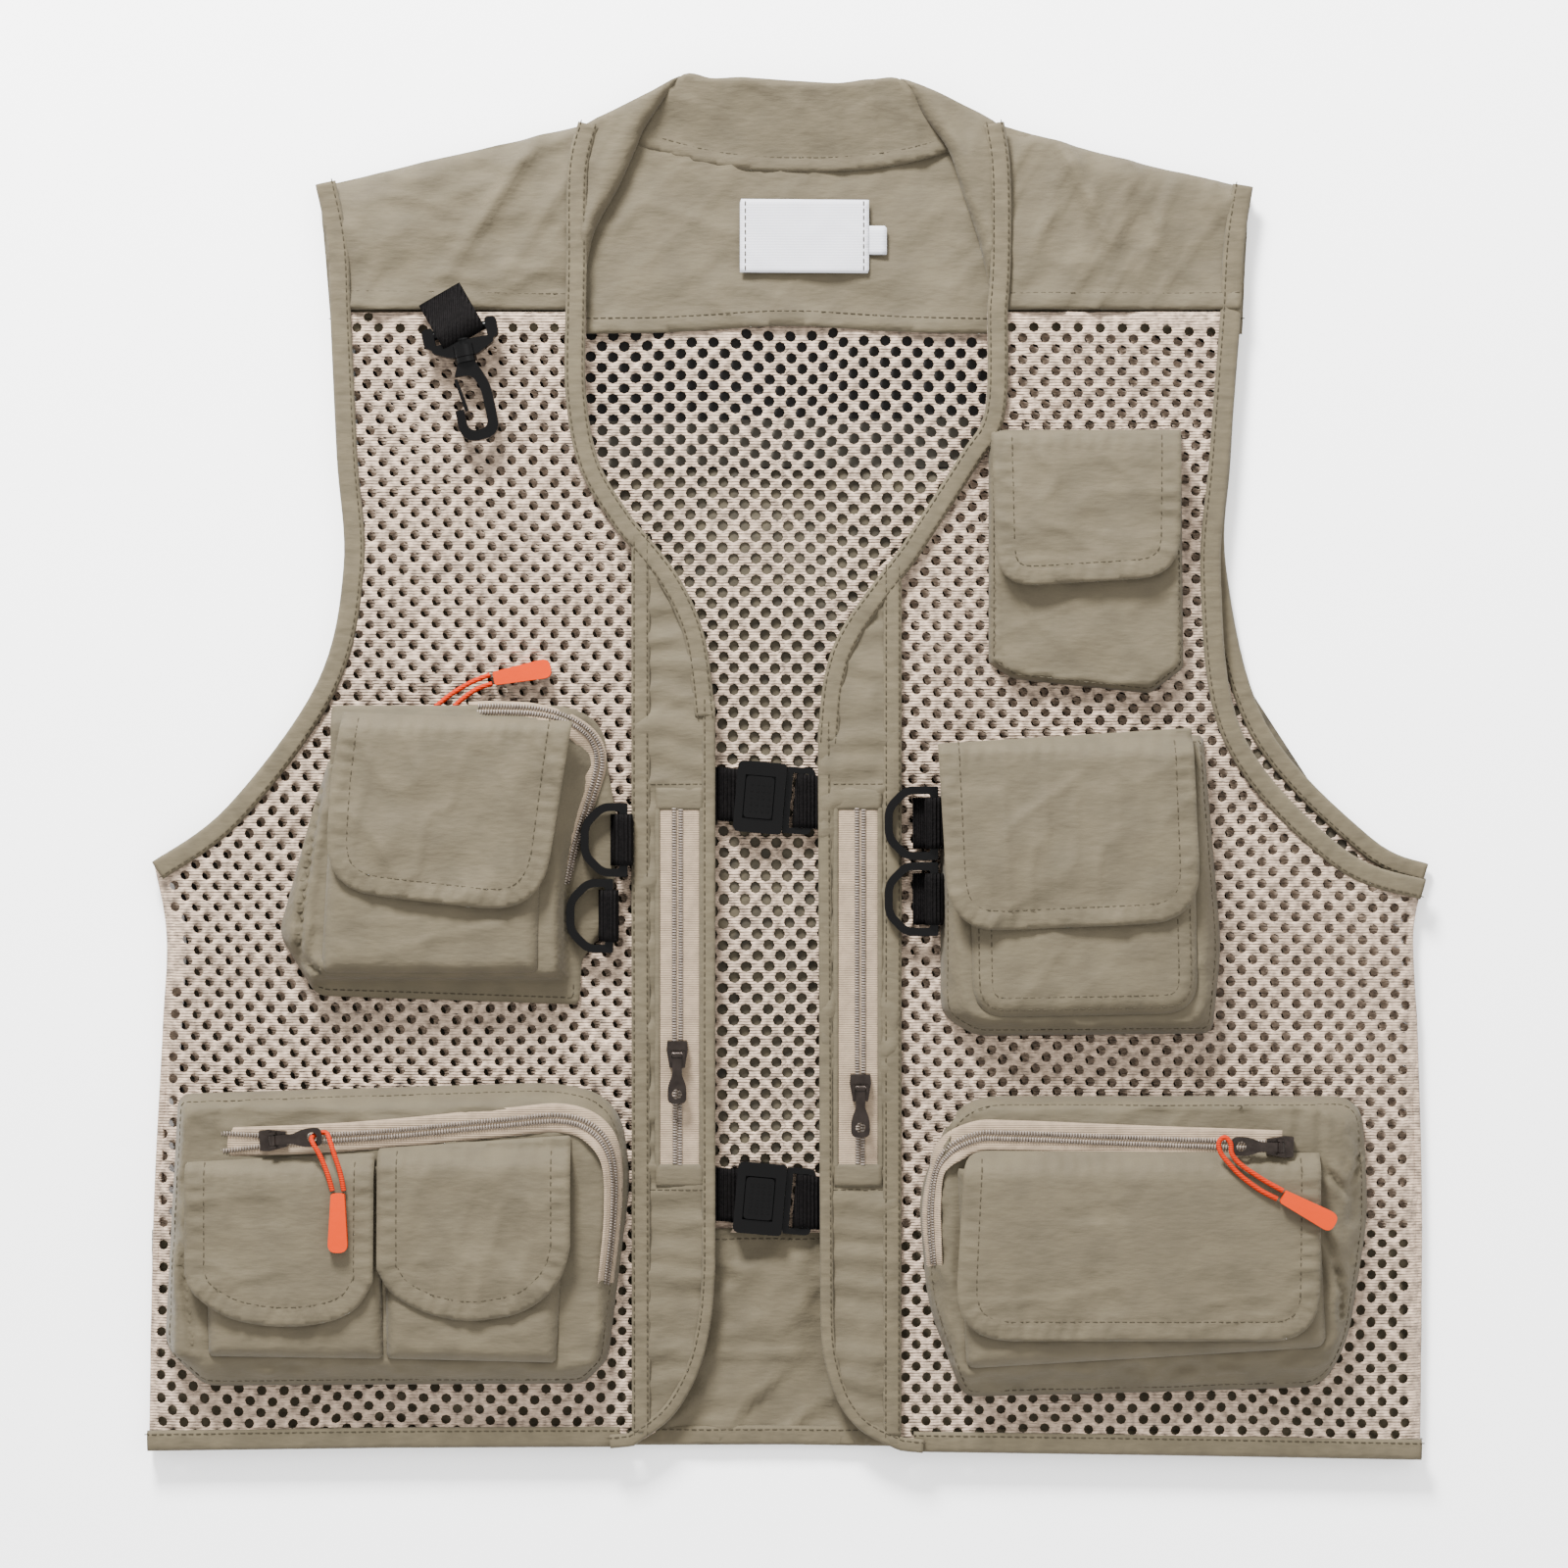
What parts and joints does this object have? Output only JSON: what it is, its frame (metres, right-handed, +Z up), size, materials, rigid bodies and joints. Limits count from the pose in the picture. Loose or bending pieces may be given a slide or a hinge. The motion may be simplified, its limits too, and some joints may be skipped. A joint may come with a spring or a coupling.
{
  "type": "fishing vest",
  "caption": "Open-front mesh fishing vest laid flat, with bound edges, flap and zip pockets, side-release buckles, D-rings and a swivel snap hook.",
  "frame": {"origin": "on the surface it lies on, under the middle of the vest's box", "axes": "+X towards the wearer's left, +Y towards the collar, +Z up out of the front"},
  "size_m": [0.5761, 0.62, 0.0415],
  "materials": {
    "olive_cloth": "plain woven polyester, washed",
    "mesh": "knitted hole mesh",
    "binding": "folded and stitched binding",
    "label": "woven satin label",
    "zip_tape": "woven zip tape with nylon coil",
    "zip_metal": "gunmetal plated die casting",
    "hook_and_loop": "hook-and-loop strip",
    "orange_cord": "braided cord",
    "orange_grip": "moulded soft plastic",
    "black_plastic": "moulded acetal",
    "webbing": "ribbed polyester webbing"
  },
  "bodies": {
    "vest": {"back_mesh": "mesh", "back_yoke": "olive_cloth", "back_pocket_panel": "olive_cloth", "collar_band": "olive_cloth", "right_front_mesh": "mesh", "left_front_mesh": "mesh", "front_yokes": "olive_cloth", "edge_bindings": "binding", "neck_labels": "label", "right_placket": "olive_cloth", "left_placket": "olive_cloth", "placket_zips": "zip_tape", "pocket_zips": "zip_tape", "right_mid_bag": "olive_cloth", "right_cargo_bag": "olive_cloth", "left_chest_bag": "olive_cloth", "left_mid_bag": "olive_cloth", "left_cargo_bag": "olive_cloth", "patch_pockets": "olive_cloth", "closure_strips": "hook_and_loop", "upper_buckle_housing": "black_plastic", "lower_buckle_housing": "black_plastic", "buckle_webbing_right": "webbing", "ring_webbing": "webbing", "hook_strap": "webbing"},
    "right_placket_slider": {"right_placket_slider": "zip_metal"},
    "left_placket_slider": {"left_placket_slider": "zip_metal"},
    "right_placket_tab": {"right_placket_tab": "zip_metal"},
    "left_placket_tab": {"left_placket_tab": "zip_metal"},
    "right_mid_slider": {"right_mid_slider": "zip_metal"},
    "right_cargo_slider": {"right_cargo_slider": "zip_metal"},
    "left_cargo_slider": {"left_cargo_slider": "zip_metal"},
    "right_mid_tab": {"right_mid_tab": "zip_metal"},
    "right_cargo_tab": {"right_cargo_tab": "zip_metal"},
    "left_cargo_tab": {"left_cargo_tab": "zip_metal"},
    "right_mid_pull": {"right_mid_cord": "orange_cord", "right_mid_grip": "orange_grip"},
    "right_cargo_pull": {"right_cargo_cord": "orange_cord", "right_cargo_grip": "orange_grip"},
    "left_cargo_pull": {"left_cargo_cord": "orange_cord", "left_cargo_grip": "orange_grip"},
    "right_mid_flap": {"right_mid_flap": "olive_cloth"},
    "right_cargo_outer_flap": {"right_cargo_outer_flap": "olive_cloth"},
    "right_cargo_inner_flap": {"right_cargo_inner_flap": "olive_cloth"},
    "left_chest_flap": {"left_chest_flap": "olive_cloth"},
    "left_mid_flap": {"left_mid_flap": "olive_cloth"},
    "left_cargo_flap": {"left_cargo_flap": "olive_cloth"},
    "upper_tongue": {"upper_buckle_tongue": "black_plastic", "upper_webbing_left": "webbing"},
    "lower_tongue": {"lower_buckle_tongue": "black_plastic", "lower_webbing_left": "webbing"},
    "upper_button": {"upper_buckle_button": "black_plastic"},
    "lower_button": {"lower_buckle_button": "black_plastic"},
    "right_upper_ring": {"right_upper_ring": "black_plastic"},
    "right_lower_ring": {"right_lower_ring": "black_plastic"},
    "left_upper_ring": {"left_upper_ring": "black_plastic"},
    "left_lower_ring": {"left_lower_ring": "black_plastic"},
    "hook_swivel": {"hook_swivel": "black_plastic"},
    "snap_hook": {"snap_hook": "black_plastic"},
    "hook_gate": {"hook_gate": "black_plastic"}
  },
  "joints": [
    {"name": "right_placket_zip", "type": "slide", "parent": "vest", "child": "right_placket_slider", "axis": [0, 1, 0], "range_m": [-0.03, 0.1]},
    {"name": "left_placket_zip", "type": "slide", "parent": "vest", "child": "left_placket_slider", "axis": [0, 1, 0], "range_m": [-0.02, 0.115]},
    {"name": "right_placket_tab_lift", "type": "hinge", "parent": "right_placket_slider", "child": "right_placket_tab", "pos_m": [-0.05, -0.128, 0.0186], "axis": [-1, 0, 0], "range_deg": [0, 150]},
    {"name": "left_placket_tab_lift", "type": "hinge", "parent": "left_placket_slider", "child": "left_placket_tab", "pos_m": [0.032, -0.143, 0.0186], "axis": [-1, 0, 0], "range_deg": [0, 150]},
    {"name": "right_mid_zip", "type": "slide", "parent": "vest", "child": "right_mid_slider", "axis": [1, 0, 0], "range_m": [-0.035, 0.035]},
    {"name": "right_cargo_zip", "type": "slide", "parent": "vest", "child": "right_cargo_slider", "axis": [-0.9969, -0.0785, 0], "range_m": [-0.11, 0.015]},
    {"name": "left_cargo_zip", "type": "slide", "parent": "vest", "child": "left_cargo_slider", "axis": [-0.9997, 0.0227, 0], "range_m": [0, 0.12]},
    {"name": "right_mid_tab_swing", "type": "hinge", "parent": "right_mid_slider", "child": "right_mid_tab", "pos_m": [-0.157, 0.0096, 0.019], "axis": [0, 0, 1], "range_deg": [-25, 25]},
    {"name": "right_cargo_tab_lift", "type": "hinge", "parent": "right_cargo_slider", "child": "right_cargo_tab", "pos_m": [-0.229, -0.165, 0.0351], "axis": [-0.0785, 0.9969, 0], "range_deg": [-150, 0]},
    {"name": "left_cargo_tab_lift", "type": "hinge", "parent": "left_cargo_slider", "child": "left_cargo_tab", "pos_m": [0.218, -0.168, 0.0351], "axis": [-0.0227, -0.9997, 0], "range_deg": [-150, 0]},
    {"name": "right_mid_pull_lift", "type": "hinge", "parent": "right_mid_tab", "child": "right_mid_pull", "pos_m": [-0.157, 0.026, 0.019], "axis": [1, 0, 0], "range_deg": [0, 80]},
    {"name": "right_cargo_pull_lift", "type": "hinge", "parent": "right_cargo_tab", "child": "right_cargo_pull", "pos_m": [-0.2096, -0.163, 0.0392], "axis": [-1, 0, 0], "range_deg": [0, 135]},
    {"name": "left_cargo_pull_lift", "type": "hinge", "parent": "left_cargo_slider", "child": "left_cargo_pull", "pos_m": [0.194, -0.165, 0.039], "axis": [-1, 0, 0], "range_deg": [0, 135]},
    {"name": "right_mid_flap_lift", "type": "hinge", "parent": "vest", "child": "right_mid_flap", "pos_m": [-0.153, 0.024, 0.0364], "axis": [-1, 0, 0], "range_deg": [0, 150]},
    {"name": "right_cargo_outer_flap_lift", "type": "hinge", "parent": "vest", "child": "right_cargo_outer_flap", "pos_m": [-0.2255, -0.173, 0.0364], "axis": [-1, 0, 0], "range_deg": [0, 135]},
    {"name": "right_cargo_inner_flap_lift", "type": "hinge", "parent": "vest", "child": "right_cargo_inner_flap", "pos_m": [-0.1395, -0.169, 0.0364], "axis": [-1, 0, 0], "range_deg": [0, 150]},
    {"name": "left_chest_flap_lift", "type": "hinge", "parent": "vest", "child": "left_chest_flap", "pos_m": [0.1325, 0.15, 0.0244], "axis": [-1, 0, 0], "range_deg": [0, 150]},
    {"name": "left_mid_flap_lift", "type": "hinge", "parent": "vest", "child": "left_mid_flap", "pos_m": [0.126, 0.014, 0.0364], "axis": [-1, 0, 0], "range_deg": [0, 150]},
    {"name": "left_cargo_flap_lift", "type": "hinge", "parent": "vest", "child": "left_cargo_flap", "pos_m": [0.1535, -0.172, 0.0364], "axis": [-1, 0, 0], "range_deg": [0, 135]},
    {"name": "upper_buckle_release", "type": "slide", "parent": "vest", "child": "upper_tongue", "axis": [0.9962, -0.0872, 0], "range_m": [0, 0.024]},
    {"name": "lower_buckle_release", "type": "slide", "parent": "vest", "child": "lower_tongue", "axis": [0.9962, -0.0872, 0], "range_m": [0, 0.024]},
    {"name": "upper_button_press", "type": "slide", "parent": "vest", "child": "upper_button", "axis": [0, 0, -1], "range_m": [0, 0.0015], "stiffness_N_per_m": 600},
    {"name": "lower_button_press", "type": "slide", "parent": "vest", "child": "lower_button", "axis": [0, 0, -1], "range_m": [0, 0.0015], "stiffness_N_per_m": 600},
    {"name": "right_upper_ring_lift", "type": "hinge", "parent": "vest", "child": "right_upper_ring", "pos_m": [-0.074, -0.032, 0.016], "axis": [0, 1, 0], "range_deg": [0, 150]},
    {"name": "right_lower_ring_lift", "type": "hinge", "parent": "vest", "child": "right_lower_ring", "pos_m": [-0.0804, -0.066, 0.016], "axis": [0, 1, 0], "range_deg": [0, 150]},
    {"name": "left_upper_ring_lift", "type": "hinge", "parent": "vest", "child": "left_upper_ring", "pos_m": [0.065, -0.0245, 0.016], "axis": [0, 1, 0], "range_deg": [0, 80]},
    {"name": "left_lower_ring_lift", "type": "hinge", "parent": "vest", "child": "left_lower_ring", "pos_m": [0.065, -0.0585, 0.016], "axis": [0, 1, 0], "range_deg": [0, 80]},
    {"name": "hook_lift", "type": "hinge", "parent": "vest", "child": "hook_swivel", "pos_m": [-0.14725, 0.19587, 0.017], "axis": [-0.9781, -0.2079, 0], "range_deg": [0, 120]},
    {"name": "hook_turn", "type": "hinge", "parent": "hook_swivel", "child": "snap_hook", "pos_m": [-0.146, 0.19, 0.017], "axis": [0.2079, -0.9781, 0], "range_deg": [-30, 30]},
    {"name": "hook_gate_press", "type": "hinge", "parent": "snap_hook", "child": "hook_gate", "pos_m": [-0.14921, 0.1748, 0.017], "axis": [0, 0, 1], "range_deg": [0, 22], "stiffness_Nm_per_rad": 0.01}
  ],
  "couplings": [
    {"joint": "right_cargo_pull_lift", "follows": "right_cargo_outer_flap_lift", "ratio": 1},
    {"joint": "left_cargo_pull_lift", "follows": "left_cargo_flap_lift", "ratio": 1}
  ]
}
